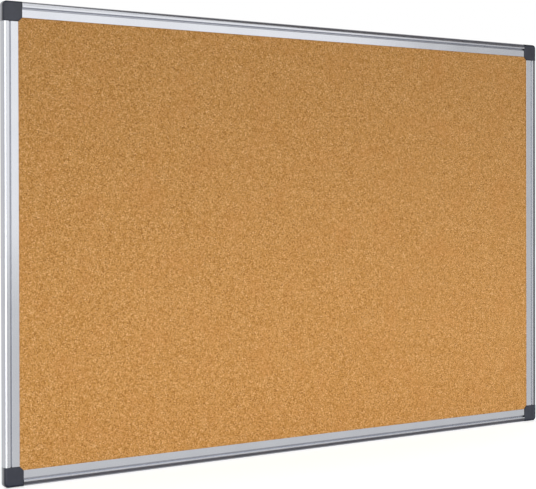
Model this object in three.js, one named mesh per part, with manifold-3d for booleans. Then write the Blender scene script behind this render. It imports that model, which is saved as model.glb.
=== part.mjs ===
// Wall-hung cork notice board in an aluminium frame with plastic corners.
// Millimetres. X is across the board, Z is up, and the front faces -Y.
// The origin is the middle of the board, on the plane of the wall that it hangs on.
import * as THREE from "three";
import { mergeVertices } from "three/addons/utils/BufferGeometryUtils.js";
import Module from "manifold-3d";

const wasm = await Module();
wasm.setup();

// Board
const boardWidth = 900;
const boardHeight = 600;

// Pinning panel: a cork sheet glued to softboard, with a sheet of card behind
const corkThickness = 1.8;
const coreThickness = 5.3;
const backingThickness = 0.5;
const glueLine = 0.1;
const panelPlay = 0.1; // between the panel and each lip of the rail
const panelEdgeGap = 0.6; // between the panel's edge and the rail's web

// Aluminium rail: a domed ridge outside, a groove at its foot and a slightly lower flat face inside
const faceWidth = 20; // from the outer side to the inner edge, seen from the front
const railWall = 1.2;
const webSetback = 1.3; // of the slot's floor from the outer edge of the flat face
const backLipSetback = 2; // of the back lip's edge from the inner edge of the flat face
const lipThickness = 1;
const ridgeHeight = 1; // of the ridge over the flat face
const ridgeMiddle = 6.9; // from the outer side to the highest line of the dome
const domeRadius = 14; // of the ridge's top
const outerRound = 2.4; // of the outer side to the dome
const crestRound = 0.5; // between the ridge's top and its inner flank
const flankRun = 1.1; // of the flank, from its top inwards to its foot
const grooveWidth = 1; // of the groove's floor
const grooveDepth = 1.8; // below the flat face
const grooveSlope = 0.6; // of the groove's inner wall, from its foot inwards to its top
const lipRound = 0.4;
const backRound = 0.6;

// Corner: a bracket that joins two rails and takes the wall screw, under a cap
const cornerSize = 25; // along each rail
const cornerRound = 5.5; // of the board's outer corner, seen from the front
const railGap = 0.15; // between a rail's end and the corner
const fixingInset = 12; // of the wall screw from both outer sides
const fixingHole = 5;
const headPocket = 10; // diameter of the pocket for the wall screw's head
const headSeat = 4; // plastic under the screw's head
const bossWall = 1.1;
const panelCornerGap = 0.4; // between the boss and the panel's cut corner

// Bracket's legs, inside the rails
const legLength = 32;
const legRoot = 1; // let into the bracket's body
const legFit = 0.2;
const legPocketWall = 1.5;
const legPocketRoof = 2;
const crushRibFit = 0.06;
const crushRibWidth = 1;
const crushRibCount = 3;
const legTipBevel = 0.5;

// Cap
const capWall = 1.2;
const capFit = 0.2;
const capProud = 0.2; // in front of the rails' ridges
const capRound = 3; // of the outer sides to the front
const capEdgeRound = 1.2; // of the ends and the inner corner to the front
const skirtDepth = 4.9; // of the cap's sides, from its front
const corkGap = 0.15; // between the cap and the cork
const prongWidth = 4;
const prongThickness = 1.8;
const prongLength = 6; // below the cap's plate
const prongFit = 0.25;
const prongEndGap = 0.9;
const prongSetback = 4.6; // of the prong's middle from the rail's end
const prongTaperShare = 0.7; // width left at the prong's tip
const prongTaper = 1.5; // length of the tapered tip

// Countersunk screws that hold each rail to its brackets, driven from behind
const screwInset = 12; // from the rail's end
const screwHead = 5.4;
const screwShank = 2.9;
const screwLength = 6.5;
const screwTip = 1.6; // length of the point
const screwRecess = 0.05; // of the head below the rail's back
const screwFit = 0.12;
const headRimHeight = 0.2;
const crossLength = 2.8;
const crossWidth = 0.7;
const crossDepth = 0.8;

// Segments on round stretches
const railRoundSteps = 6;
const domeSteps = 5;
const capRoundSteps = 5;
const planSteps = 8;
const smallRoundSteps = 3;
const circleSteps = 24;
const screwSteps = 16;

const overrun = 1; // of every cutting solid past the face that it cuts

// Heights above the wall, measured towards the front
const backingBack = railWall + panelPlay;
const coreBack = backingBack + backingThickness + glueLine;
const corkBack = coreBack + coreThickness + glueLine;
const corkFront = corkBack + corkThickness;
const lipUnderside = corkFront + panelPlay;
const faceFront = lipUnderside + lipThickness;
const grooveFloor = faceFront - grooveDepth;
const ridgeFront = faceFront + ridgeHeight;
const domeCentre = ridgeFront - domeRadius;

// Distances in from the board's outer side
const crestEdge = ridgeMiddle + crestRound;
const flankFoot = crestEdge + flankRun;
const grooveEnd = flankFoot + grooveWidth;
const faceStart = grooveEnd + grooveSlope;
const channelFloor = faceStart + webSetback;
const backLipReach = faceWidth - backLipSetback;
const chamberEnd = channelFloor - railWall;
const chamberMiddle = (railWall + chamberEnd) / 2;

// Corner heights and distances
const capFront = ridgeFront + capProud;
const skirtBottom = capFront - skirtDepth;
const bracketLedge = skirtBottom - capFit;
const plateUnderside = capFront - capWall;
const bracketTop = plateUnderside - capFit;
const bracketInset = capWall + capFit;
const prongTip = plateUnderside - prongLength;
const prongAlong = cornerSize - prongSetback;
const prongAcross = (bracketInset + channelFloor) / 2;
// The panel's corners are cut at 45 degrees to clear the boss round the wall screw.
const bossCut = 2 * fixingInset + Math.SQRT2 * (headPocket / 2 + bossWall);

const materials = {
  cork: new THREE.MeshStandardMaterial({ color: 0xbc8a52, roughness: 0.95, metalness: 0 }),
  softboard: new THREE.MeshStandardMaterial({ color: 0x9a8468, roughness: 0.95, metalness: 0 }),
  backing: new THREE.MeshStandardMaterial({ color: 0xac9c86, roughness: 0.9, metalness: 0 }),
  aluminium: new THREE.MeshStandardMaterial({ color: 0xd4d6da, roughness: 0.35, metalness: 1 }),
  bracket: new THREE.MeshStandardMaterial({ color: 0xb4b7ba, roughness: 0.55, metalness: 0 }),
  cap: new THREE.MeshStandardMaterial({ color: 0x3c3f47, roughness: 0.45, metalness: 0 }),
  screw: new THREE.MeshStandardMaterial({ color: 0xb9bcc0, roughness: 0.3, metalness: 1 }),
};

const point = (x, y) => new THREE.Vector2(x, y);

// Points of an arc, both ends included. Angles are in radians.
function arc(x, y, radius, from, to, steps) {
  return Array.from({ length: steps + 1 }, (_, i) => {
    const angle = from + ((to - from) * i) / steps;
    return point(x + radius * Math.cos(angle), y + radius * Math.sin(angle));
  });
}

// Solid of a closed three.js geometry
function solid(geometry) {
  geometry.deleteAttribute("normal");
  geometry.deleteAttribute("uv");
  const merged = mergeVertices(geometry);
  return new wasm.Manifold(
    new wasm.Mesh({
      numProp: 3,
      vertProperties: merged.getAttribute("position").array,
      triVerts: new Uint32Array(merged.index.array),
    }),
  );
}

// Named mesh of a solid
function piece(name, body, material) {
  const { vertProperties, triVerts } = body.getMesh();
  const geometry = new THREE.BufferGeometry();
  geometry.setAttribute("position", new THREE.BufferAttribute(new Float32Array(vertProperties), 3));
  geometry.setIndex(new THREE.BufferAttribute(new Uint32Array(triVerts), 1));
  geometry.computeVertexNormals();
  const mesh = new THREE.Mesh(geometry, material);
  mesh.name = name;
  return mesh;
}

const alongX = new THREE.Vector3(1, 0, 0);
const alongZ = new THREE.Vector3(0, 0, 1);
const towardsFront = new THREE.Vector3(0, -1, 0);

// Turns a geometry's x and y axes to two given directions and moves its origin to a place
function place(geometry, xAxis, yAxis, origin) {
  const zAxis = new THREE.Vector3().crossVectors(xAxis, yAxis);
  return geometry.applyMatrix4(new THREE.Matrix4().makeBasis(xAxis, yAxis, zAxis).setPosition(origin));
}

// Solid with a flat outline in X and Z, from one height above the wall to another
function slab(outline, low, high) {
  const geometry = new THREE.ExtrudeGeometry(new THREE.Shape(outline), {
    depth: high - low,
    bevelEnabled: false,
  });
  return solid(place(geometry, alongX, alongZ, new THREE.Vector3(0, -low, 0)));
}

function rectangle(xLow, zLow, xHigh, zHigh) {
  return [point(xLow, zLow), point(xHigh, zLow), point(xHigh, zHigh), point(xLow, zHigh)];
}

// Closed solid through rings of points: each ring is { outline, height }, with as many points as the next
function loft(rings) {
  const count = rings[0].outline.length;
  const positions = rings.flatMap(({ outline, height }) => outline.flatMap((p) => [p.x, -height, p.y]));
  const triangles = [];
  for (let ring = 0; ring + 1 < rings.length; ring++) {
    for (let i = 0; i < count; i++) {
      const next = (i + 1) % count;
      const [a, b] = [ring * count + i, ring * count + next];
      triangles.push(a, b, b + count, a, b + count, a + count);
    }
  }
  const last = (rings.length - 1) * count;
  for (const [a, b, c] of THREE.ShapeUtils.triangulateShape(rings[0].outline, []))
    triangles.push(a, c, b);
  for (const [a, b, c] of THREE.ShapeUtils.triangulateShape(rings.at(-1).outline, []))
    triangles.push(last + a, last + b, last + c);
  const geometry = new THREE.BufferGeometry();
  geometry.setAttribute("position", new THREE.Float32BufferAttribute(positions, 3));
  geometry.setIndex(triangles);
  return solid(geometry);
}

// Solid turned about an axis that points to the front, from a profile of [radius, height] pairs
function turned(profile, x, z, steps) {
  const geometry = new THREE.LatheGeometry(profile.map(([radius, height]) => point(radius, height)), steps);
  return solid(place(geometry, alongZ, towardsFront, new THREE.Vector3(x, 0, z)));
}

function cylinder(diameter, low, high, x, z, steps) {
  const radius = diameter / 2;
  return turned([[0, low], [radius, low], [radius, high], [0, high]], x, z, steps);
}

// The ridge in section, moved in by an inset: the outer round, then the dome, which it meets without
// an edge, up to an angle on the dome. X is the distance in from the outer side, y the height.
function ridgeTop(inset, end) {
  const run = outerRound - ridgeMiddle;
  const rise = Math.sqrt((domeRadius - outerRound) ** 2 - run ** 2);
  const meeting = Math.atan2(rise, run);
  const round = arc(outerRound, domeCentre + rise, outerRound - inset, Math.PI, meeting, railRoundSteps);
  const dome = arc(ridgeMiddle, domeCentre, domeRadius - inset, meeting, end, domeSteps);
  return [...round, ...dome.slice(1)];
}

function railOutline() {
  const flankAngle = Math.atan2(flankRun, ridgeFront - grooveFloor);
  const crest = arc(ridgeMiddle, ridgeFront - crestRound, crestRound, Math.PI / 2, flankAngle, smallRoundSteps);
  return [
    ...arc(backRound, backRound, backRound, 1.5 * Math.PI, Math.PI, smallRoundSteps),
    ...ridgeTop(0, Math.PI / 2),
    ...crest.slice(1),
    point(flankFoot, grooveFloor),
    point(grooveEnd, grooveFloor),
    point(faceStart, faceFront),
    ...arc(faceWidth - lipRound, faceFront - lipRound, lipRound, Math.PI / 2, 0, smallRoundSteps),
    point(faceWidth, lipUnderside),
    point(channelFloor, lipUnderside),
    point(channelFloor, railWall),
    point(backLipReach, railWall),
    point(backLipReach, 0),
  ].reverse();
}

// The rail's hollow chamber, or what fits in it with a clearance all round
function chamberOutline(clearance) {
  const inset = railWall + clearance;
  const end = chamberEnd - clearance;
  const roof = grooveFloor - inset;
  const crestAngle = Math.acos((crestRound - inset) / (domeRadius - inset));
  return [
    point(inset, inset),
    point(end, inset),
    point(end, roof),
    point(flankFoot - inset, roof),
    ...ridgeTop(inset, crestAngle).reverse(),
  ];
}

// Sweeps a rail section along X from a place, the section's x pointing up and its y to the front
function alongRail(outline, start, length, options = {}) {
  const shape = new THREE.Shape(outline);
  if (options.hole) shape.holes.push(new THREE.Path(options.hole));
  const bevel = options.bevel ?? 0;
  const geometry = new THREE.ExtrudeGeometry(shape, {
    depth: length - 2 * bevel,
    bevelEnabled: bevel > 0,
    bevelThickness: bevel,
    bevelSize: bevel,
    bevelOffset: -bevel,
    bevelSegments: 1,
  });
  return solid(place(geometry, alongZ, towardsFront, new THREE.Vector3(start + bevel, 0, 0)));
}

// Countersunk hole or head: a rim, then a cone down to the shank
function countersink(clearance, head, shank, low) {
  const rim = low + headRimHeight;
  const coneEnd = rim + (head - shank) / 2;
  return [
    [head / 2 + clearance, rim],
    [shank / 2 + clearance, coneEnd],
  ];
}

function screwHole(x) {
  const head = screwHead / 2 + screwFit;
  const shank = screwShank / 2 + screwFit;
  const end = screwRecess + screwLength + screwFit;
  const profile = [[0, -overrun], [head, -overrun]];
  profile.push(...countersink(screwFit, screwHead, screwShank, screwRecess), [shank, end], [0, end]);
  return turned(profile, x, chamberMiddle, screwSteps);
}

function frameScrew(x) {
  const end = screwRecess + screwLength;
  const profile = [[0, screwRecess], [screwHead / 2, screwRecess]];
  profile.push(...countersink(0, screwHead, screwShank, screwRecess), [screwShank / 2, end - screwTip], [0, end]);
  const [long, thin] = [crossLength / 2, crossWidth / 2];
  const low = screwRecess - overrun;
  const high = screwRecess + crossDepth;
  const z = chamberMiddle;
  const across = slab(rectangle(x - long, z - thin, x + long, z + thin), low, high);
  const upright = slab(rectangle(x - thin, z - long, x + thin, z + long), low, high);
  return turned(profile, x, z, screwSteps).subtract(across).subtract(upright);
}

function rail(length) {
  const start = cornerSize + railGap;
  const body = alongRail(railOutline(), start, length - 2 * start, { hole: chamberOutline(0).reverse() });
  const screwAt = cornerSize + screwInset;
  return body.subtract(screwHole(screwAt)).subtract(screwHole(length - screwAt));
}

// Corner seen from the front: both outer sides moved in by an inset, the arms ending at the rails,
// and the inner corner cut off from one arm's inner edge to the other's
function cornerOutline(inset, reach, inner) {
  return [
    point(reach, inset),
    point(reach, inner),
    point(inner, reach),
    point(inset, reach),
    ...arc(cornerRound, cornerRound, cornerRound - inset, Math.PI, 1.5 * Math.PI, planSteps),
  ];
}

// Corner solid in the shape of the cap, with its outer sides and front moved in by an inset. The outer
// sides turn over to the front in a wide round, the other edges in a small one.
function cornerSolid(inset, low, reach, inner, edgeRound = 0) {
  const radius = capRound - inset;
  const roundStart = capFront - capRound;
  const rings = [{ outline: cornerOutline(inset, reach, inner), height: low }];
  for (let i = 0; i <= capRoundSteps; i++) {
    const angle = (Math.PI / 2) * (i / capRoundSteps);
    const height = roundStart + radius * Math.sin(angle);
    const past = Math.max(height - (roundStart + radius - edgeRound), 0);
    const edge = edgeRound - Math.sqrt(Math.max(edgeRound ** 2 - past ** 2, 0));
    const turnedIn = capRound - radius * Math.cos(angle);
    rings.push({ outline: cornerOutline(turnedIn, reach - edge, inner - edge), height });
  }
  return loft(rings);
}

// Room for the panel's corner, which is cut off beside the screw boss
function panelRoom(low, high) {
  const far = bossCut + cornerSize;
  const cut = bossCut - channelFloor;
  const outline = [
    point(cut, channelFloor),
    point(far, channelFloor),
    point(far, far),
    point(channelFloor, far),
    point(channelFloor, cut),
  ];
  return slab(outline, low, high);
}

// A mirror image on the other arm: X and Z change places
function otherArm(body) {
  return body.mirror([1, 0, -1]);
}

// One leg, with crush ribs, a bevelled tip and pockets on both sides of its screw
function bracketLeg() {
  const section = chamberOutline(legFit);
  const start = cornerSize + railGap;
  const end = cornerSize + legLength;
  // The root passes under the cap's end wall.
  const rootStart = cornerSize - legRoot;
  const underCap = slab(rectangle(rootStart - overrun, 0, start + overrun, cornerSize), 0, bracketLedge);
  const root = alongRail(section, rootStart, legRoot + railGap + legTipBevel).intersect(underCap);
  let leg = alongRail(section, start, end - start, { bevel: legTipBevel }).add(root);
  const ribSpan = legLength - 2 * legTipBevel - crushRibWidth;
  for (let i = 1; i <= crushRibCount; i++) {
    const at = cornerSize + (ribSpan * i) / crushRibCount;
    leg = leg.add(alongRail(chamberOutline(crushRibFit), at, crushRibWidth));
  }
  const screwAt = cornerSize + screwInset;
  const blockHalf = screwShank / 2 + legPocketWall;
  const low = railWall - overrun;
  const high = grooveFloor - railWall - legFit - legPocketRoof;
  const zLow = railWall + legFit + legPocketWall;
  const zHigh = chamberEnd - legFit - legPocketWall;
  const near = rectangle(cornerSize + legPocketWall, zLow, screwAt - blockHalf, zHigh);
  const far = rectangle(screwAt + blockHalf, zLow, end - legPocketWall - legTipBevel, zHigh);
  return leg.subtract(slab(near, low, high)).subtract(slab(far, low, high)).subtract(screwHole(screwAt));
}

function prongPocket() {
  const half = prongWidth / 2 + prongFit;
  const thin = prongThickness / 2 + prongFit;
  const outline = rectangle(prongAlong - half, prongAcross - thin, prongAlong + half, prongAcross + thin);
  return slab(outline, prongTip - prongEndGap, bracketTop + overrun);
}

function cornerBracket() {
  const lower = loft([
    { outline: cornerOutline(backRound, cornerSize, backLipReach), height: 0 },
    { outline: cornerOutline(0, cornerSize, backLipReach), height: backRound },
    { outline: cornerOutline(0, cornerSize, backLipReach), height: bracketLedge },
  ]);
  const upperReach = cornerSize - bracketInset;
  const upper = cornerSolid(bracketInset, bracketLedge - overrun, upperReach, backLipReach);
  const arms = lower.add(upper).subtract(panelRoom(railWall, bracketTop + overrun));
  const hole = cylinder(fixingHole, -overrun, headSeat + overrun, fixingInset, fixingInset, circleSteps);
  const pocket = cylinder(headPocket, headSeat, bracketTop + overrun, fixingInset, fixingInset, circleSteps);
  return arms
    .add(bracketLeg())
    .add(otherArm(bracketLeg()))
    .subtract(hole)
    .subtract(pocket)
    .subtract(prongPocket())
    .subtract(otherArm(prongPocket()));
}

// One of the cap's two prongs, tapered at its tip
function prong() {
  const ring = (share, height) => {
    const [half, thin] = [(prongWidth * share) / 2, (prongThickness * share) / 2];
    const outline = rectangle(prongAlong - half, prongAcross - thin, prongAlong + half, prongAcross + thin);
    return { outline, height };
  };
  return loft([
    ring(prongTaperShare, prongTip),
    ring(1, prongTip + prongTaper),
    ring(1, plateUnderside + capWall / 2),
  ]);
}

function cornerCap() {
  const shell = cornerSolid(0, skirtBottom, cornerSize, faceWidth, capEdgeRound);
  // Hollow inside. The walls of the ends and of the inner corner come down to the cork.
  const hollowInner = faceWidth - capWall * (Math.SQRT2 - 1);
  const hollow = cornerSolid(capWall, skirtBottom - overrun, cornerSize - capWall, hollowInner);
  const overCork = rectangle(channelFloor, channelFloor, cornerSize + overrun, cornerSize + overrun);
  return shell
    .subtract(hollow)
    .subtract(slab(overCork, skirtBottom - overrun, corkFront + corkGap))
    .add(prong())
    .add(otherArm(prong()));
}

// Panel sheet with its corners cut off, from one height above the wall to another
function sheet(low, high) {
  const edge = channelFloor + panelEdgeGap;
  const cut = bossCut + Math.SQRT2 * panelCornerGap - edge;
  const [x, z] = [boardWidth / 2 - edge, boardHeight / 2 - edge];
  const [xCut, zCut] = [boardWidth / 2 - cut, boardHeight / 2 - cut];
  const outline = [
    point(-xCut, -z),
    point(xCut, -z),
    point(x, -zCut),
    point(x, zCut),
    point(xCut, z),
    point(-xCut, z),
    point(-x, zCut),
    point(-x, -zCut),
  ];
  return slab(outline, low, high);
}

const board = new THREE.Group();
board.add(piece("cork_sheet", sheet(corkBack, corkFront), materials.cork));
board.add(piece("softboard_core", sheet(coreBack, coreBack + coreThickness), materials.softboard));
board.add(piece("backing_sheet", sheet(backingBack, backingBack + backingThickness), materials.backing));

// Each side of the frame is built lying along the bottom from the left corner, and turned into place.
const sides = [
  { rail: "bottom", corner: "bottom_left", length: boardWidth, ends: ["left", "right"] },
  { rail: "right", corner: "bottom_right", length: boardHeight, ends: ["bottom", "top"] },
  { rail: "top", corner: "top_right", length: boardWidth, ends: ["right", "left"] },
  { rail: "left", corner: "top_left", length: boardHeight, ends: ["top", "bottom"] },
];
sides.forEach(({ rail: name, corner, length, ends }, turn) => {
  const side = new THREE.Group();
  const [x, z] = turn % 2 ? [boardHeight / 2, boardWidth / 2] : [boardWidth / 2, boardHeight / 2];
  side.rotation.y = (-Math.PI / 2) * turn;
  side.position.set(-x, 0, -z).applyEuler(side.rotation);
  side.add(piece(`rail_${name}`, rail(length), materials.aluminium));
  side.add(piece(`corner_bracket_${corner}`, cornerBracket(), materials.bracket));
  side.add(piece(`corner_cap_${corner}`, cornerCap(), materials.cap));
  const screwAt = cornerSize + screwInset;
  [screwAt, length - screwAt].forEach((at, i) => {
    side.add(piece(`frame_screw_${name}_${ends[i]}`, frameScrew(at), materials.screw));
  });
  board.add(side);
});

export default board;
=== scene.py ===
import math

import bmesh
import bpy
import numpy as np
from mathutils import Matrix, Vector


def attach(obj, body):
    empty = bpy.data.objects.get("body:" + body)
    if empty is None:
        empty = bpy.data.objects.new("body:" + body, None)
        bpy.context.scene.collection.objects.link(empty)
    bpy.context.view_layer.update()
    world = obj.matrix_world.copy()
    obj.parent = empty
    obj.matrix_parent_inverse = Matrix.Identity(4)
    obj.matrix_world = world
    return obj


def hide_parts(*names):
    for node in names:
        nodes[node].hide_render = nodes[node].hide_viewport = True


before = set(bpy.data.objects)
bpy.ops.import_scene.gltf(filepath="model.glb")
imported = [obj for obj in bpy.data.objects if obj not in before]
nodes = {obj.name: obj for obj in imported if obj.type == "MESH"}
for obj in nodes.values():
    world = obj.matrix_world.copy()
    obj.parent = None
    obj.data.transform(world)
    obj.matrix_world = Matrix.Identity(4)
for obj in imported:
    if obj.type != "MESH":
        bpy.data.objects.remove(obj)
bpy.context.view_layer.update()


# Backing card
# The back of the board is closed by one sheet of brown card, held between the back lips of the rails.
# It is pressed from waste paper, so it has short fibres in it and a few paler flecks.

# Sizes and reliefs of grain are in metres. A span is the part of a pattern's values where a change runs.
card_fibre_size = 0.0016
card_fleck_size = 0.0009
card_fleck_span = (0.93, 0.97)
card_pale = (0.47, 0.36, 0.24, 1)
card_dark = (0.33, 0.24, 0.15, 1)
card_fleck = (0.62, 0.53, 0.40, 1)
card_relief = 0.00005
fibre_stretches = ((0.25, 1, 1), (1, 1, 0.25))
fibre_span = (0.3, 0.6)

# Places of the sockets that a Mix node has for colours.
mix_share, mix_first, mix_second, mix_result = 0, 6, 7, 2


def add_node(tree, kind, inputs=None, **settings):
    """Adds one node, with its settings, and gives each named input a value or a link to an output."""
    node = tree.nodes.new(kind)
    for key, value in settings.items():
        setattr(node, key, value)
    for key, value in (inputs or {}).items():
        if isinstance(value, bpy.types.NodeSocket):
            tree.links.new(value, node.inputs[key])
        else:
            node.inputs[key].default_value = value
    return node


def calculated(tree, operation, *values):
    """Result of one operation on one or two numbers."""
    return add_node(tree, "ShaderNodeMath", dict(enumerate(values)), operation=operation).outputs["Value"]


def mixed(tree, share, first, second):
    """Colour that goes from the first to the second with the share."""
    inputs = {mix_share: share, mix_first: first, mix_second: second}
    return add_node(tree, "ShaderNodeMix", inputs, data_type="RGBA").outputs[mix_result]


def spread(tree, value, span, result=(0, 1)):
    """Number that goes from one end of the result to the other while the value crosses the span."""
    limits = dict(zip(("From Min", "From Max", "To Min", "To Max"), (*span, *result)))
    return add_node(tree, "ShaderNodeMapRange", {"Value": value, **limits}).outputs["Result"]


def noise(tree, place, count, detail, roughness=0.5):
    """Soft noise with about this many lumps along each unit of the place."""
    inputs = {"Vector": place, "Scale": count, "Detail": detail, "Roughness": roughness}
    return add_node(tree, "ShaderNodeTexNoise", inputs).outputs["Fac"]


def cells(tree, place, size, **settings):
    """Outputs of a pattern of irregular cells, of about this size in metres."""
    return add_node(tree, "ShaderNodeTexVoronoi", {"Vector": place, "Scale": 1 / size}, **settings).outputs


def new_material(name, **constants):
    """Material with one Principled shader, whose sockets are set by name."""
    material = bpy.data.materials.new(name)
    material.use_nodes = True
    shader = material.node_tree.nodes["Principled BSDF"]
    for socket, value in constants.items():
        shader.inputs[socket.replace("_", " ")].default_value = value
    return material, material.node_tree, shader


def object_place(tree, stretch=(1, 1, 1)):
    """Place on the object in metres, with each axis stretched by a factor."""
    place = add_node(tree, "ShaderNodeTexCoord").outputs["Object"]
    return add_node(tree, "ShaderNodeMapping", {"Vector": place, "Scale": stretch}).outputs["Vector"]


def bump(tree, shader, height, relief):
    """Raises the surface by the height, times the relief in metres."""
    node = add_node(tree, "ShaderNodeBump", {"Height": height, "Distance": relief})
    tree.links.new(node.outputs["Normal"], shader.inputs["Normal"])


def new_group(name, inputs, outputs):
    """Empty node group with named sockets of the given kinds. Returns its tree, and both ends of it."""
    tree = bpy.data.node_groups.new(name, "ShaderNodeTree")
    for direction, sockets in (("INPUT", inputs), ("OUTPUT", outputs)):
        for socket, kind in sockets.items():
            tree.interface.new_socket(socket, in_out=direction, socket_type=kind)
    return tree, tree.nodes.new("NodeGroupInput"), tree.nodes.new("NodeGroupOutput")


def coat(node, material):
    """Gives one of the flat sheets its only material."""
    nodes[node].data.materials.clear()
    nodes[node].data.materials.append(material)


# Short pressed fibres: two layers of noise, drawn out along and across, and the darker of the two wins.
fibre_group, fibre_in, fibre_out = new_group(
    "pressed fibres",
    {"Place": "NodeSocketVector", "Fibre Size": "NodeSocketFloat"},
    {"Mask": "NodeSocketFloat"},
)
fibre_count = calculated(fibre_group, "DIVIDE", 1, fibre_in.outputs["Fibre Size"])
fibre_layers = []
for fibre_stretch in fibre_stretches:
    inputs = {"Vector": fibre_in.outputs["Place"], "Scale": fibre_stretch}
    fibre_place = add_node(fibre_group, "ShaderNodeMapping", inputs).outputs["Vector"]
    fibre_layers.append(noise(fibre_group, fibre_place, fibre_count, detail=3, roughness=0.6))
darker_layer = calculated(fibre_group, "MINIMUM", *fibre_layers)
fibre_group.links.new(spread(fibre_group, darker_layer, fibre_span), fibre_out.inputs["Mask"])


def pressed_fibres(tree, fibre_size):
    """Mask of pressed fibres of a size in metres: low between them and high on them."""
    inputs = {"Place": object_place(tree), "Fibre Size": fibre_size}
    return add_node(tree, "ShaderNodeGroup", inputs, node_tree=fibre_group).outputs["Mask"]


card, tree, shader = new_material("backing_card", Roughness=0.9, Specular_IOR_Level=0.25)
card_fibres = pressed_fibres(tree, card_fibre_size)
fleck_tone = cells(tree, object_place(tree), card_fleck_size)["Color"]
fibre_colour = mixed(tree, card_fibres, card_dark, card_pale)
card_colour = mixed(tree, spread(tree, fleck_tone, card_fleck_span), fibre_colour, card_fleck)
tree.links.new(card_colour, shader.inputs["Base Color"])
bump(tree, shader, card_fibres, card_relief)
coat("backing_sheet", card)


# Softboard core
# Behind the cork lies a soft fibreboard, glued to it. Pins go through the cork into this board.
# It is felted from wood fibre, pale brown, with coarse fibres along its sawn edges.

core_fibre_size = 0.003
core_pale = (0.42, 0.30, 0.18, 1)
core_dark = (0.25, 0.17, 0.09, 1)
core_relief = 0.0002

core, tree, shader = new_material("softboard", Roughness=0.95, Specular_IOR_Level=0.2)
core_fibres = pressed_fibres(tree, core_fibre_size)
tree.links.new(mixed(tree, core_fibres, core_dark, core_pale), shader.inputs["Base Color"])
bump(tree, shader, core_fibres, core_relief)
coat("softboard_core", core)


# Cork sheet
# The face is a thin sheet of ground cork, pressed with resin into a block and sliced off it.
# Granules of one or two millimetres show in many browns, with smaller crumbs and dark seams between them.

granule_size = 0.0013
crumb_size = 0.0008
crumb_share = 0.4
granule_wander = 0.00036
noise_middle = (0.5, 0.5, 0.5)
seam_width = 0.09  # as a share of a granule, as the shoulder is
seam_strength = 0.45
shoulder_width = 0.2
patch_size = 0.045
patch_span = (0.5, 0.72)
patch_strength = 0.25
cork_tones = (
    (0.09, (0.238, 0.087, 0.009, 1)),
    (0.25, (0.419, 0.189, 0.034, 1)),
    (0.50, (0.589, 0.290, 0.072, 1)),
    (0.75, (0.698, 0.379, 0.133, 1)),
    (0.91, (0.858, 0.541, 0.275, 1)),
)
cork_seam = (0.25, 0.105, 0.026, 1)
cork_warm_patch = (0.56, 0.24, 0.062, 1)
cork_relief = 0.00025
ramp_middle = 0.5


def blended(tree, share, first, second):
    """Number that goes from the first to the second with the share."""
    inputs = {"Factor": share, "A": first, "B": second}
    return add_node(tree, "ShaderNodeMix", inputs, data_type="FLOAT").outputs["Result"]


def ramped(tree, value, stops):
    """Colour that runs through the stops while the value grows. A stop is a value and its colour."""
    ramp = add_node(tree, "ShaderNodeValToRGB", {"Fac": value})
    elements = ramp.color_ramp.elements
    while len(elements) < len(stops):
        elements.new(ramp_middle)
    for element, (at, colour) in zip(elements, stops):
        element.position = at
        element.color = colour
    return ramp.outputs["Color"]


def cell_tone(tree, place, size):
    """Number from 0 to 1 that is the same all over a cell and differs from cell to cell."""
    inputs = {"Color": cells(tree, place, size)["Color"]}
    return add_node(tree, "ShaderNodeSeparateColor", inputs).outputs["Red"]


cork, tree, shader = new_material("cork", Roughness=0.92, Specular_IOR_Level=0.5)
place = object_place(tree)
wander = add_node(tree, "ShaderNodeTexNoise", {"Vector": place, "Scale": 1 / granule_size})
shift = add_node(
    tree, "ShaderNodeVectorMath", {0: wander.outputs["Color"], 1: noise_middle}, operation="SUBTRACT"
)
shift_and_place = {0: shift.outputs["Vector"], 1: (granule_wander,) * 3, 2: place}
moved = add_node(tree, "ShaderNodeVectorMath", shift_and_place, operation="MULTIPLY_ADD").outputs["Vector"]
tone = blended(tree, crumb_share, cell_tone(tree, moved, granule_size), cell_tone(tree, moved, crumb_size))
from_edge = cells(tree, moved, granule_size, feature="DISTANCE_TO_EDGE")["Distance"]
seam = spread(tree, from_edge, (0, seam_width), (seam_strength, 0))
cork_colour = mixed(tree, seam, ramped(tree, tone, cork_tones), cork_seam)
patch = spread(tree, noise(tree, place, 1 / patch_size, detail=3), patch_span, (0, patch_strength))
cork_colour = mixed(tree, patch, cork_colour, cork_warm_patch)
tree.links.new(cork_colour, shader.inputs["Base Color"])
raised = calculated(tree, "MULTIPLY", tone, spread(tree, from_edge, (0, shoulder_width)))
bump(tree, shader, raised, cork_relief)
coat("cork_sheet", cork)


# Corner brackets
# Each corner is held by one moulded plastic bracket, light grey. Its two legs are pushed into the rails.
# Its body shows behind the cap, with a pocket for the wall screw and a slot for each prong of the cap.

# Lengths of pieces are in millimetres. Insets are from the board's outer sides, and heights from the wall.
millimetre = 0.001
board_width = 900
board_height = 600
side_lengths = (board_width, board_height)
corners = ("bottom_left", "bottom_right", "top_right", "top_left")
corner_size = 25
corner_round = 5.5
edge_break = 0.12
back_round = 0.6
back_reach = 18
back_lip = 1.2
panel_edge = 11.4
bracket_inset = 1.4
ledge_height = 6.3
cap_front = 11.4
cap_round = 3
rail_gap = 0.15
screw_hole_inset = 12
screw_hole = 5
screw_pocket = 10
screw_pocket_floor = 4
boss_wall = 1.1
prong_along = 20.4
prong_across = 6.4
prong_slot = (4.5, 2.3)
prong_slot_floor = 3.3
leg_end = 57
leg_root = 24
leg_taper = 0.5
leg_clearance = 0.2
chamber_inset = 1.2
chamber_end = 10.2
groove_floor = 8.4
flank_foot = 8.5
ridge_front = 11.2
ridge_middle = 6.9
dome_radius = 14
outer_round = 2.4
crest_round = 0.5
overrun = 1  # of every cutting solid past the face that it cuts
plan_steps = 10
front_steps = 14
back_steps = 4
circle_steps = 48
sharp_from = 35  # degrees between two faces, from which the edge between them stays sharp
flat_face_weight = 100
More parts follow.
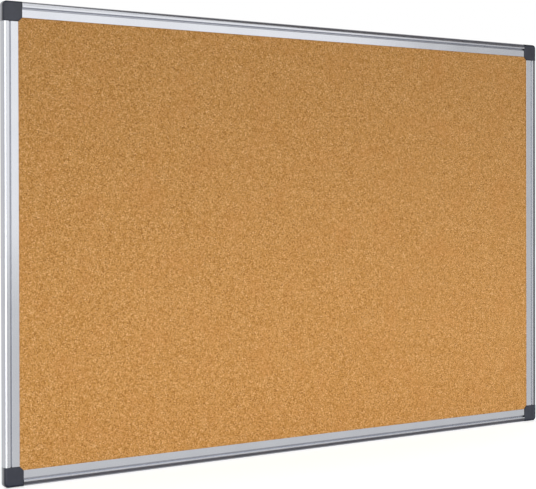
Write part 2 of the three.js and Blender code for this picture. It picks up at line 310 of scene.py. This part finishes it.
bracket_dull = (0.40, 0.41, 0.43, 1)
bracket_bright = (0.46, 0.47, 0.49, 1)
bracket_grain = 0.0005
bracket_relief = 0.00002
bracket_roughness = (0.55, 0.48)
rubs_per_metre = 90
rub_span = (0.35, 0.7)


def into_place(points, turn):
    """Carries points of the bottom left corner to another, by quarter turns about the board's middle.
    A point is its distances along the side, in front of the wall and in from the outer side."""
    length, depth = side_lengths[turn % 2], side_lengths[1 - turn % 2]
    along = points[..., 0] - length / 2
    up = points[..., 2] - depth / 2
    angle = -math.pi / 2 * turn
    x = along * math.cos(angle) + up * math.sin(angle)
    z = up * math.cos(angle) - along * math.sin(angle)
    return np.stack([x, -points[..., 1], z], axis=-1)


def arc(x, y, radius, first, last, steps):
    """Points on a circle about (x, y), at even steps of angle from the first to the last, in radians."""
    angle = np.linspace(first, last, steps + 1)
    return np.stack([x + radius * np.cos(angle), y + radius * np.sin(angle)], axis=-1)


def rounded(points, radii, steps):
    """Closed outline with each corner turned into an arc. The arc's centre lies on the bisector, where it
    is one radius from both edges, and its points run evenly from the first edge to the second."""
    points = np.asarray(points, float)
    radii = np.asarray(radii, float)[:, None]
    back = np.roll(points, 1, axis=0) - points
    ahead = np.roll(points, -1, axis=0) - points
    back /= np.linalg.norm(back, axis=1, keepdims=True)
    ahead /= np.linalg.norm(ahead, axis=1, keepdims=True)
    half = np.arccos(np.sum(back * ahead, axis=1, keepdims=True)) / 2
    bisector = back + ahead
    bisector /= np.linalg.norm(bisector, axis=1, keepdims=True)
    centre = points + bisector * radii / np.sin(half)
    first = (points + back * radii / np.tan(half) - centre)[:, None]
    second = (points + ahead * radii / np.tan(half) - centre)[:, None]
    swept = (math.pi - 2 * half)[:, None]
    share = np.linspace(0, 1, steps + 1)[None, :, None]
    turned = (first * np.sin((1 - share) * swept) + second * np.sin(share * swept)) / np.sin(swept)
    return (centre[:, None] + turned).reshape(-1, 2)


def loft(rings, turn):
    """Closed mesh through rings of points, an array of rings by points by three. Points with the same
    number on neighbouring rings are joined by four-sided faces, and a flat face closes each end."""
    rings = into_place(np.asarray(rings, float), turn) * millimetre
    count, size = rings.shape[:2]
    index = np.arange(count * size).reshape(count, size)
    here, there = index[:-1], index[1:]
    sides = np.stack([here, np.roll(here, -1, axis=1), np.roll(there, -1, axis=1), there], axis=-1)
    faces = sides.reshape(-1, 4).tolist() + [index[0].tolist(), index[-1].tolist()]
    mesh = bpy.data.meshes.new("loft")
    mesh.from_pydata(rings.reshape(-1, 3).tolist(), [], faces)
    work = bmesh.new()
    work.from_mesh(mesh)
    bmesh.ops.recalc_face_normals(work, faces=work.faces)
    work.to_mesh(mesh)
    work.free()
    return mesh


def standing_rings(outlines, heights):
    """Rings of a piece that points to the front. Each outline is in (along, in from the side), and lies at
    its own height."""
    pairs = zip(outlines, heights)
    return np.array([np.insert(outline, 1, height, axis=1) for outline, height in pairs])


def lying_rings(outlines, places):
    """Rings of a piece that runs along a side. Each outline is in (in from the side, height), and lies at
    its own place along the side."""
    pairs = zip(outlines, places)
    return np.array([np.insert(outline[:, ::-1], 0, place, axis=1) for outline, place in pairs])


def other_arm(rings):
    """Mirror image on the other arm of the corner: the along and across distances change places."""
    return rings[..., ::-1]


def box_outline(along, across, size, share=1):
    """Corners of a rectangle about a middle (along, across), with a share of its size."""
    signs = np.array([(-1, -1), (1, -1), (1, 1), (-1, 1)])
    return np.array([along, across]) + signs * (np.asarray(size) / 2) * share


def upright_box(along, across, size, low, high, turn):
    """Box about a middle (along, across), from a low to a high height."""
    return loft(standing_rings([box_outline(along, across, size)] * 2, [low, high]), turn)


def turned_about(profile, along, across, turn):
    """Solid of revolution about a line that points to the front. The profile gives (radius, height) pairs,
    and each becomes a circle of points."""
    circles = [arc(along, across, radius, 0, 2 * math.pi, circle_steps)[:-1] for radius, _ in profile]
    return loft(standing_rings(circles, [height for _, height in profile]), turn)


def carved(body, added=(), cut=()):
    """Closed mesh: a body joined with some closed meshes, and then with others cut out of it."""
    blank = bpy.data.objects.new("blank", body)
    bpy.context.collection.objects.link(blank)
    tools = []
    for operation, meshes in (("UNION", added), ("DIFFERENCE", cut)):
        for mesh in meshes:
            tool = bpy.data.objects.new("tool", mesh)
            bpy.context.collection.objects.link(tool)
            tools.append(tool)
            modifier = blank.modifiers.new(operation, "BOOLEAN")
            modifier.operation = operation
            modifier.solver = "EXACT"
            modifier.object = tool
    depsgraph = bpy.context.evaluated_depsgraph_get()
    made = bpy.data.meshes.new_from_object(blank.evaluated_get(depsgraph))
    for used in (blank, *tools):
        bpy.data.objects.remove(used)
    return made


def dressed(name, mesh, material, body, node, smooth_below=sharp_from):
    """Piece with a material and smooth shading, which rides on a body and stands for its CAD node."""
    piece = bpy.data.objects.new(name, mesh)
    bpy.context.collection.objects.link(piece)
    mesh.materials.clear()
    mesh.materials.append(material)
    mesh.shade_smooth()
    mesh.set_sharp_from_angle(angle=math.radians(smooth_below))
    weighted = piece.modifiers.new("flat faces stay flat", "WEIGHTED_NORMAL")
    weighted.keep_sharp = True
    weighted.weight = flat_face_weight
    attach(piece, body)
    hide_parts(node)


def corner_outline(inset, reach, inner):
    """Corner seen from the front: two outer sides moved in by an inset, with a round between them, two
    ends at the rails, and the inner corner cut off at 45 degrees."""
    points = [(inset, inset), (reach, inset), (reach, inner), (inner, reach), (inset, reach)]
    return rounded(points, [corner_round - inset, *[edge_break] * 4], plan_steps)


def turned_over(low, inset, reach, inner, edge_round):
    """Rings of a corner solid whose outer sides turn over to the front. The sides go in by the wide radius
    times one minus the cosine, while the height grows with its sine. The ends follow a smaller round near
    the front."""
    radius = cap_round - inset
    angle = np.linspace(0, math.pi / 2, front_steps + 1)
    height = cap_front - cap_round + radius * np.sin(angle)
    past = np.clip(height - (height[-1] - edge_round), 0, None)
    edge = edge_round - np.sqrt(np.clip(edge_round**2 - past**2, 0, None))
    side = cap_round - radius * np.cos(angle)
    outlines = [corner_outline(inset, reach, inner)]
    for gone_in, cut_back in zip(side, edge):
        outlines.append(corner_outline(gone_in, reach - cut_back, inner - cut_back))
    return standing_rings(outlines, [low, *height])


def ridge_top(inset, end):
    """The rail's ridge in section, moved in by an inset: the outer round and then the wide dome, up to an
    angle on the dome. The two centres are one radius less the other apart, so they meet without an edge."""
    run = outer_round - ridge_middle
    rise = math.sqrt((dome_radius - outer_round) ** 2 - run**2)
    dome_centre = ridge_front - dome_radius
    meeting = math.atan2(rise, run)
    side = arc(outer_round, dome_centre + rise, outer_round - inset, math.pi, meeting, plan_steps)
    dome = arc(ridge_middle, dome_centre, dome_radius - inset, meeting, end, plan_steps)
    return np.concatenate([side, dome[1:]])


def chamber_outline(clearance):
    """Cross section of the hollow in a rail, less a clearance all round: straight under the groove, and
    following the ridge above it."""
    inset = chamber_inset + clearance
    end = chamber_end - clearance
    roof = groove_floor - inset
    crest = math.acos((crest_round - inset) / (dome_radius - inset))
    straight = [(inset, inset), (end, inset), (end, roof), (flank_foot - inset, roof)]
    return np.concatenate([straight, ridge_top(inset, crest)[::-1]])


def leg_rings():
    """Rings along one leg. Each end is tapered by pulling its ring's points towards their middle."""
    section = chamber_outline(leg_clearance)
    middle = section.mean(axis=0)
    reach = np.linalg.norm(section - middle, axis=1).max()
    tip = middle + (section - middle) * (1 - leg_taper / reach)
    start = corner_size + rail_gap
    places = [start, start + leg_taper, leg_end - leg_taper, leg_end]
    return lying_rings([tip, section, section, tip], places)


def root_rings():
    """Rings of the leg's root, which joins it to the bracket's body below the ledge."""
    section = np.minimum(chamber_outline(leg_clearance), [math.inf, ledge_height])
    return lying_rings([section] * 2, [leg_root, corner_size + rail_gap + leg_taper])


# Fine moulded grain: small soft bumps, as the spark-worn face of a mould leaves on plastic.
grain_group, grain_in, grain_out = new_group(
    "moulded grain",
    {"Place": "NodeSocketVector", "Grain Size": "NodeSocketFloat"},
    {"Height": "NodeSocketFloat", "Rub": "NodeSocketFloat"},
)
grain_place = grain_in.outputs["Place"]
grain_count = calculated(grain_group, "DIVIDE", 1, grain_in.outputs["Grain Size"])
grain_height = noise(grain_group, grain_place, grain_count, detail=2, roughness=0.55)
rub = spread(grain_group, noise(grain_group, grain_place, rubs_per_metre, detail=4), rub_span)
grain_group.links.new(grain_height, grain_out.inputs["Height"])
grain_group.links.new(rub, grain_out.inputs["Rub"])


def moulded(name, dull, bright, grain_size, relief, roughness, **constants):
    """Moulded plastic with a fine grain, a little paler and smoother where hands have rubbed it. It has one
    roughness where it is new and one where it is rubbed."""
    material, tree, shader = new_material(name, **constants)
    inputs = {"Place": object_place(tree), "Grain Size": grain_size}
    grain = add_node(tree, "ShaderNodeGroup", inputs, node_tree=grain_group)
    rub = grain.outputs["Rub"]
    tree.links.new(mixed(tree, rub, dull, bright), shader.inputs["Base Color"])
    tree.links.new(spread(tree, rub, (0, 1), roughness), shader.inputs["Roughness"])
    bump(tree, shader, grain.outputs["Height"], relief)
    return material


bracket_plastic = moulded(
    "bracket_plastic", bracket_dull, bracket_bright, bracket_grain, bracket_relief, bracket_roughness
)

# The body's back edge is a quarter round: its inset is the radius times one minus the sine of an angle, and
# its height is the radius times one minus the cosine. From there the sides rise straight to the ledge.
low_outlines = []
low_heights = []
for angle in np.linspace(0, math.pi / 2, back_steps + 1):
    low_outlines.append(corner_outline(back_round * (1 - math.sin(angle)), corner_size, back_reach))
    low_heights.append(back_round * (1 - math.cos(angle)))
low_outlines.append(low_outlines[-1])
low_heights.append(ledge_height)
low_rings = standing_rings(low_outlines, low_heights)
upper_rings = turned_over(
    ledge_height - overrun, bracket_inset, corner_size - bracket_inset, back_reach, edge_break
)

# The panel's room reaches up to the boss round the wall screw, with its corner cut off at 45 degrees.
boss_cut = 2 * screw_hole_inset + math.sqrt(2) * (screw_pocket / 2 + boss_wall)
far = boss_cut + corner_size
near = boss_cut - panel_edge
room = np.array([(near, panel_edge), (far, panel_edge), (far, far), (panel_edge, far), (panel_edge, near)])
room_rings = standing_rings([room, room], [back_lip, cap_front])

hole_profile = [(screw_hole / 2, -overrun), (screw_hole / 2, cap_front)]
pocket_profile = [(screw_pocket / 2, screw_pocket_floor), (screw_pocket / 2, cap_front)]
hole_centre = (screw_hole_inset, screw_hole_inset)

for turn, corner in enumerate(corners):
    arms = carved(loft(low_rings, turn), [loft(upper_rings, turn)], [loft(room_rings, turn)])
    legs = []
    for rings in (leg_rings(), root_rings()):
        legs += [loft(rings, turn), loft(other_arm(rings), turn)]
    cuts = [
        turned_about(hole_profile, *hole_centre, turn),
        turned_about(pocket_profile, *hole_centre, turn),
        upright_box(prong_along, prong_across, prong_slot, prong_slot_floor, cap_front, turn),
        upright_box(prong_across, prong_along, prong_slot[::-1], prong_slot_floor, cap_front, turn),
    ]
    moulding = carved(arms, legs, cuts)
    name = f"bracket_{corner}"
    dressed(name, moulding, bracket_plastic, "board", f"corner_{name}")


# Rails
# Four lengths of satin anodised aluminium extrusion frame the panel. A domed ridge runs outside, with a
# groove at its foot, and a slightly lower flat face inside it ends in the lip over the cork.

face_width = 20
face_height = 10.2
lip_underside = 9.2
crest_corner = 7.24
groove_end = 9.5
face_start = 10.1
lip_round = 0.4
groove_round = 0.15
face_edge_round = 0.5
rail_steps = 12
rail_sharp_from = 25
screw_from_end = 12
screw_across = 5.7
screw_head = 5.4
screw_shank = 2.9
screw_recess = 0.05
screw_rim = 0.2
screw_length = 6.5
screw_fit = 0.12
streak_width = 0.0004
streak_length = 0.25
streak_relief = 0.000004
clouds_per_metre = 22
cloud_share = 0.5
metal_tone_span = (0.35, 0.65)
metal_gloss_span = (0.3, 0.7)
aluminium_tone = (0.785, 0.80, 0.845, 1)
aluminium_dim = (0.725, 0.74, 0.79, 1)
aluminium_roughness = (0.14, 0.21)
# Painted shade: the metal low in the groove is darkened, as shade falls in the recess.
groove_painted_shade = (0.44, 0.45, 0.49, 1)
groove_shade = (0.2, 0.7)  # from its middle, full painted shade up to the first and none from the second

# Corners of the rail's section as (in from the side, height), each with its round.
rail_section = (
    ((0, 0), back_round),
    ((0, face_height), outer_round),
    ((crest_corner, ridge_front), crest_round),
    ((flank_foot, groove_floor), groove_round),
    ((groove_end, groove_floor), groove_round),
    ((face_start, face_height), face_edge_round),
    ((face_width, face_height), lip_round),
    ((face_width, lip_underside), edge_break),
    ((panel_edge, lip_underside), edge_break),
    ((panel_edge, back_lip), edge_break),
    ((back_reach, back_lip), edge_break),
    ((back_reach, 0), edge_break),
)
rail_corners, rail_rounds = zip(*rail_section)
rounded_corners = rounded(rail_corners, rail_rounds, rail_steps)

# The ridge's own curve takes the place of the second corner's round.
corner_points = rail_steps + 1
rail_outline = np.concatenate([
    rounded_corners[:corner_points],
    ridge_top(0, math.pi / 2),
    rounded_corners[2 * corner_points:],
])
cone_length = (screw_head - screw_shank) / 2
screw_hole_profile = [
    (screw_head / 2 + screw_fit, -overrun),
    (screw_head / 2 + screw_fit, screw_recess + screw_rim),
    (screw_shank / 2 + screw_fit, screw_recess + screw_rim + cone_length),
    (screw_shank / 2 + screw_fit, screw_recess + screw_length + screw_fit),
]


def anodised(name, stretch, across, half_size):
    """Satin aluminium with faint drawing lines along the extrusion: noise that is stretched that way turns
    the surface, its tone and its gloss a little. The groove gets painted shade, a darker tone found from
    how far a point is from the groove's middle, read along the axis across the rail."""
    material, tree, shader = new_material(name, Metallic=1)
    streaks = noise(tree, object_place(tree, stretch), count=1, detail=4, roughness=0.7)
    clouds = noise(tree, object_place(tree), clouds_per_metre, detail=3)
    both = blended(tree, cloud_share, streaks, clouds)
    metal = mixed(tree, spread(tree, both, metal_tone_span), aluminium_dim, aluminium_tone)
    axes = add_node(tree, "ShaderNodeSeparateXYZ", {"Vector": object_place(tree)}).outputs
    groove_middle = (half_size - (flank_foot + groove_end) / 2) * millimetre
    off_middle = calculated(tree, "SUBTRACT", calculated(tree, "ABSOLUTE", axes[across]), groove_middle)
    away = calculated(tree, "ABSOLUTE", off_middle)
    # Painted shade in the groove: full near its middle, fading out towards its edges.
    dull = spread(tree, away, [distance * millimetre for distance in groove_shade], (1, 0))
    tree.links.new(mixed(tree, dull, metal, groove_painted_shade), shader.inputs["Base Color"])
    roughness = spread(tree, both, metal_gloss_span, aluminium_roughness)
    tree.links.new(roughness, shader.inputs["Roughness"])
    bump(tree, shader, streaks, streak_relief)
    return material


def screw_places(length):
    """Where a rail's two screws are along a side of this length."""
    first = corner_size + screw_from_end
    return first, length - first


across_stretch = (1 / streak_length, 1 / streak_width, 1 / streak_width)
upright_stretch = (1 / streak_width, 1 / streak_width, 1 / streak_length)
aluminium = (
    anodised("aluminium_across", across_stretch, "Z", board_height / 2),
    anodised("aluminium_upright", upright_stretch, "X", board_width / 2),
)

# Each side with its two ends, in the order of the quarter turns.
side_ends = {
    "bottom": ("left", "right"),
    "right": ("bottom", "top"),
    "top": ("right", "left"),
    "left": ("top", "bottom"),
}
for turn, side in enumerate(side_ends):
    length = side_lengths[turn % 2]
    start = corner_size + rail_gap
    stop = length - start
    body = loft(lying_rings([rail_outline] * 2, [start, stop]), turn)
    hollow = loft(lying_rings([chamber_outline(0)] * 2, [start - overrun, stop + overrun]), turn)
    holes = [turned_about(screw_hole_profile, at, screw_across, turn) for at in screw_places(length)]
    profile = carved(body, cut=[hollow, *holes])
    metal = aluminium[turn % 2]
    dressed(f"extrusion_{side}", profile, metal, "board", f"rail_{side}", rail_sharp_from)


# Frame screws
# Eight small countersunk steel screws, zinc plated, hold the rails to the legs of the brackets.
# They are driven from behind, flush with the rails' backs, and have a rolled thread and a cross recess.

thread_core = 1.05
thread_pitch = 1.1
thread_start = 2.2
screw_point = 1.6
screw_steps = 32
ring_step = 0.11
recess_length = 2.8
recess_width = 0.7
recess_depth = 0.8
recess_taper = 0.6
plating_per_metre = 900
plating_tone_span = (0.35, 0.65)
plating_gloss_span = (0.3, 0.7)
zinc_bright = (0.62, 0.62, 0.63, 1)
zinc_dull = (0.47, 0.48, 0.50, 1)
zinc_roughness = (0.28, 0.42)


def threaded(along, across, turn):
    """Screw as a surface of height and angle. The radius follows the head, the cone and the shank. From the
    thread's start on, it falls to the core by a triangle wave, whose phase grows with the height and drops
    by one turn for each turn of angle. At the point it shrinks evenly to a blunt tip."""
    end = screw_recess + screw_length
    cone_top = screw_recess + screw_rim
    cone_end = cone_top + cone_length
    shank_heights = np.arange(cone_end + ring_step, end, ring_step)
    height = np.concatenate([[screw_recess, cone_top, cone_end], shank_heights])[:, None]
    angle = np.linspace(0, 2 * math.pi, screw_steps, endpoint=False)
    smooth = np.interp(
        height,
        [screw_recess, cone_top, cone_end, end - screw_point, end],
        [screw_head / 2, screw_head / 2, screw_shank / 2, screw_shank / 2, edge_break],
    )
    phase = height / thread_pitch - angle / (2 * math.pi)
    wave = np.abs(2 * (phase % 1) - 1)
    depth = (screw_shank / 2 - thread_core) * np.clip((height - thread_start) / thread_pitch, 0, 1)
    radius = smooth * (1 - wave * depth / (screw_shank / 2))
    x = along + radius * np.cos(angle)
    y = across + radius * np.sin(angle)
    return loft(np.stack([x, np.broadcast_to(height, radius.shape), y], axis=-1), turn)


def recess_blade(along, across, size, turn):
    """One of the two crossed blades that press the driver's recess, narrower at the bottom."""
    outlines = [box_outline(along, across, size, share) for share in (1, 1, recess_taper)]
    heights = [screw_recess - overrun, screw_recess, screw_recess + recess_depth]
    return loft(standing_rings(outlines, heights), turn)


zinc, tree, shader = new_material("screw_zinc", Metallic=1)
plating = noise(tree, object_place(tree), plating_per_metre, detail=3)
zinc_colour = mixed(tree, spread(tree, plating, plating_tone_span), zinc_dull, zinc_bright)
tree.links.new(zinc_colour, shader.inputs["Base Color"])
tree.links.new(spread(tree, plating, plating_gloss_span, zinc_roughness), shader.inputs["Roughness"])

for turn, (side, ends) in enumerate(side_ends.items()):
    for at, end in zip(screw_places(side_lengths[turn % 2]), ends):
        blades = [
            recess_blade(at, screw_across, (recess_length, recess_width), turn),
            recess_blade(at, screw_across, (recess_width, recess_length), turn),
        ]
        screw = carved(threaded(at, screw_across, turn), cut=blades)
        name = f"screw_{side}_{end}"
        dressed(name, screw, zinc, "board", f"frame_{name}")


# Corner caps
# A dark grey plastic cap is pushed over each corner and hides the wall screw. It can be pulled off.
# It is a thin moulded shell, rounded over its outer sides, with two prongs that grip slots in the bracket.

cap_wall = 1.2
cap_skirt_bottom = 6.5
cap_edge_round = 1.2
cap_over_cork = 9.25
prong_size = (4.0, 1.8)
prong_tip = 4.2
prong_taper = 1.5
prong_taper_share = 0.7
cap_dull = (0.018, 0.022, 0.037, 1)
cap_bright = (0.024, 0.028, 0.047, 1)
cap_grain = 0.0006
cap_relief = 0.00001
cap_roughness = (0.24, 0.18)
cap_gloss = 0.7

cap_plastic = moulded(
    "cap_plastic", cap_dull, cap_bright, cap_grain, cap_relief, cap_roughness, Specular_IOR_Level=cap_gloss
)

# The shell is hollow from behind, and a step lets its inner corner lie over the cork.
shell_rings = turned_over(cap_skirt_bottom, 0, corner_size, face_width, cap_edge_round)
hollow_low = cap_skirt_bottom - overrun
hollow_inner = face_width - cap_wall * (math.sqrt(2) - 1)
hollow_rings = turned_over(hollow_low, cap_wall, corner_size - cap_wall, hollow_inner, 0)
far = corner_size + overrun
over_cork = np.array([(panel_edge, panel_edge), (far, panel_edge), (far, far), (panel_edge, far)])
step_rings = standing_rings([over_cork, over_cork], [hollow_low, cap_over_cork])

# A prong widens from its tip and ends inside the cap's plate.
prong_shares = (prong_taper_share, 1, 1)
prong_heights = (prong_tip, prong_tip + prong_taper, cap_front - cap_wall / 2)
prong_outlines = [box_outline(prong_along, prong_across, prong_size, share) for share in prong_shares]
prong_rings = standing_rings(prong_outlines, prong_heights)

for turn, corner in enumerate(corners):
    shell = carved(loft(shell_rings, turn), cut=[loft(hollow_rings, turn), loft(step_rings, turn)])
    cap = carved(shell, added=[loft(prong_rings, turn), loft(other_arm(prong_rings), turn)])
    dressed(f"cap_shell_{corner}", cap, cap_plastic, f"cap_{corner}", f"corner_cap_{corner}")


# Studio
# A plain pale floor lies under the board, and a pale surround and large soft lamps light it. Dark cards
# stand beside the frame. None of it is part of the board. Lengths are in metres.

floor_size = 12
floor_height = -0.3004
floor_paleness = (0.88, 0.88, 0.88, 1)
floor_glow = 0.56
surround_light = 0.598
white = (1, 1, 1, 1)

# What gloss sees in front of the board, by the height of the direction and by its side: each stop is a
# share of the way from straight down to straight up, or from left to right, and a paleness there.
room_levels = (
    (0.00, 0.45),
    (0.15, 0.50),
    (0.30, 0.60),
    (0.41, 0.75),
    (0.55, 0.66),
    (0.66, 0.80),
    (0.80, 1.00),
    (0.90, 0.65),
    (1.00, 0.45),
)
side_levels = (
    (0.00, 0.90),
    (0.32, 0.95),
    (0.45, 0.80),
    (0.58, 0.80),
    (0.69, 0.95),
    (0.84, 0.87),
    (0.92, 0.70),
    (0.97, 0.60),
    (1.00, 0.40),
)

# What gloss sees behind the board, by the side of the direction, and where the one passes into the other.
backdrop_levels = (
    (0.00, 0.66),
    (0.40, 0.66),
    (0.70, 0.60),
    (0.85, 0.48),
    (0.92, 0.20),
    (0.97, 0.08),
)
behind_span = (0.2, 0.5)

# Only gloss sees the cards, and they draw the dark lines along the frame's outer edges.
card_blueness = 1.1
dark_cards = {
    "card_below": {
        "paleness": 0.20,
        "corners": (
            (-0.60, -0.0115, -0.3002),
            (0.80, -0.0115, -0.3002),
            (0.80, -0.025, -0.3002),
            (-0.60, -0.025, -0.3002),
        ),
    },
    "card_right": {
        "paleness": 0.02,
        "corners": (
            (0.60, -0.022, -0.5),
            (0.60, -0.115, -0.5),
            (0.60, -0.115, 0.5),
            (0.60, -0.022, 0.5),
        ),
    },
    "card_above": {
        "paleness": 0.15,
        "corners": (
            (-0.5, -0.02, 0.4),
            (0.9, -0.02, 0.4),
            (0.9, -0.36, 0.4),
            (-0.5, -0.06, 0.4),
        ),
    },
}

# Each lamp is a soft rectangle, with a width and a height, which faces the point that it is aimed at.
lamps = {
    "wide_lamp": {
        "place": (0.8, -2.6, 0.60),
        "aim": (0.8, 0, 0.60),
        "size": (3.0, 1.5),
        "watts": 5.6,
        "in_gloss": True,
    },
    "strip_lamp": {
        "place": (-1.1, -2.4, 0.0),
        "aim": (-0.45, 0, 0),
        "size": (0.5, 1.8),
        "watts": 4.5,
        "in_gloss": True,
    },
    "low_lamp": {
        "place": (0.1, -0.55, -0.26),
        "aim": (0.1, 0, -0.26),
        "size": (2.0, 0.06),
        "watts": 3,
        "in_gloss": False,
    },
}

bpy.ops.mesh.primitive_plane_add(size=floor_size, location=(0, 0, floor_height))
floor = bpy.context.object
floor.name = "floor"
paper, tree, shader = new_material(
    "studio_paper", Roughness=0.9, Base_Color=floor_paleness, Emission_Color=white
)
seen = add_node(tree, "ShaderNodeLightPath").outputs["Is Camera Ray"]
tree.links.new(spread(tree, seen, (0, 1), (0, floor_glow)), shader.inputs["Emission Strength"])
floor.data.materials.append(paper)
floor.visible_glossy = False

world = bpy.data.worlds.new("surround")
bpy.context.scene.world = world
world.use_nodes = True
tree = world.node_tree


def grey_ramp(value, levels):
    """Grey of the surround, by a part of the direction that runs from -1 to 1."""
    stops = [(at, (level, level, level, 1)) for at, level in levels]
    return ramped(tree, spread(tree, value, (-1, 1)), stops)


# The camera sees a white surround, gloss sees the room in front and the backdrop behind, and the rest of
# the light comes evenly from all round.
generated = add_node(tree, "ShaderNodeTexCoord").outputs["Generated"]
direction = add_node(tree, "ShaderNodeSeparateXYZ", {"Vector": generated}).outputs
room = grey_ramp(direction["Z"], room_levels)
sideways = grey_ramp(direction["X"], side_levels)
backdrop = grey_ramp(direction["X"], backdrop_levels)
in_front = calculated(tree, "MULTIPLY", room, sideways)
in_gloss = mixed(tree, spread(tree, direction["Y"], behind_span), in_front, backdrop)
rays = add_node(tree, "ShaderNodeLightPath").outputs
even_light = (surround_light, surround_light, surround_light, 1)
unseen = mixed(tree, rays["Is Glossy Ray"], even_light, in_gloss)
surround = mixed(tree, rays["Is Camera Ray"], unseen, white)
tree.links.new(surround, tree.nodes["Background"].inputs["Color"])

for name, dark_card in dark_cards.items():
    card_points = dark_card["corners"]
    paleness = dark_card["paleness"]
    grey = (paleness, paleness, card_blueness * paleness, 1)
    paint, tree, shader = new_material(name, Roughness=1, Base_Color=grey)
    mesh = bpy.data.meshes.new(name)
    mesh.from_pydata(card_points, [], [range(len(card_points))])
    mesh.materials.append(paint)
    card_object = bpy.data.objects.new(name, mesh)
    bpy.context.collection.objects.link(card_object)
    card_object.visible_camera = False
    card_object.visible_diffuse = False
    card_object.visible_shadow = False

for name, lamp in lamps.items():
    light = bpy.data.lights.new(name, "AREA")
    light.shape = "RECTANGLE"
    light.size, light.size_y = lamp["size"]
    light.energy = lamp["watts"]
    lamp_object = bpy.data.objects.new(name, light)
    bpy.context.collection.objects.link(lamp_object)
    lamp_object.location = lamp["place"]
    line_of_light = Vector(lamp["aim"]) - Vector(lamp["place"])
    lamp_object.rotation_euler = line_of_light.to_track_quat("-Z", "Y").to_euler()
    lamp_object.visible_camera = False
    lamp_object.visible_glossy = lamp["in_gloss"]

# The camera stands to the left of the board and 1.5 m in front of it, just above the height of its middle,
# and looks a little down. Its angles are in radians, and its focal length and centre are in picture points.
camera_place = (-1.068998, -1.543608, 0.055817)
camera_yaw = 0.581363
camera_pitch = -0.007037
camera_roll = 0.002122
camera_focal = 1322.08
picture_width = 536
picture_height = 489
optical_centre = (268.5, 207.84)
sensor = 36

camera_data = bpy.data.cameras.new("camera")
camera = bpy.data.objects.new("camera", camera_data)
bpy.context.collection.objects.link(camera)
camera_data.sensor_width = sensor
camera_data.lens = camera_focal / picture_width * sensor
camera_data.shift_x = 0.5 - optical_centre[0] / picture_width
camera_data.shift_y = (optical_centre[1] - picture_height / 2) / picture_width
camera.matrix_world = (
    Matrix.Translation(camera_place)
    @ Matrix.Rotation(-camera_yaw, 4, "Z")
    @ Matrix.Rotation(math.pi / 2 + camera_pitch, 4, "X")
    @ Matrix.Rotation(-camera_roll, 4, "Z")
)
bpy.context.scene.camera = camera
bpy.context.scene.view_settings.view_transform = "Standard"
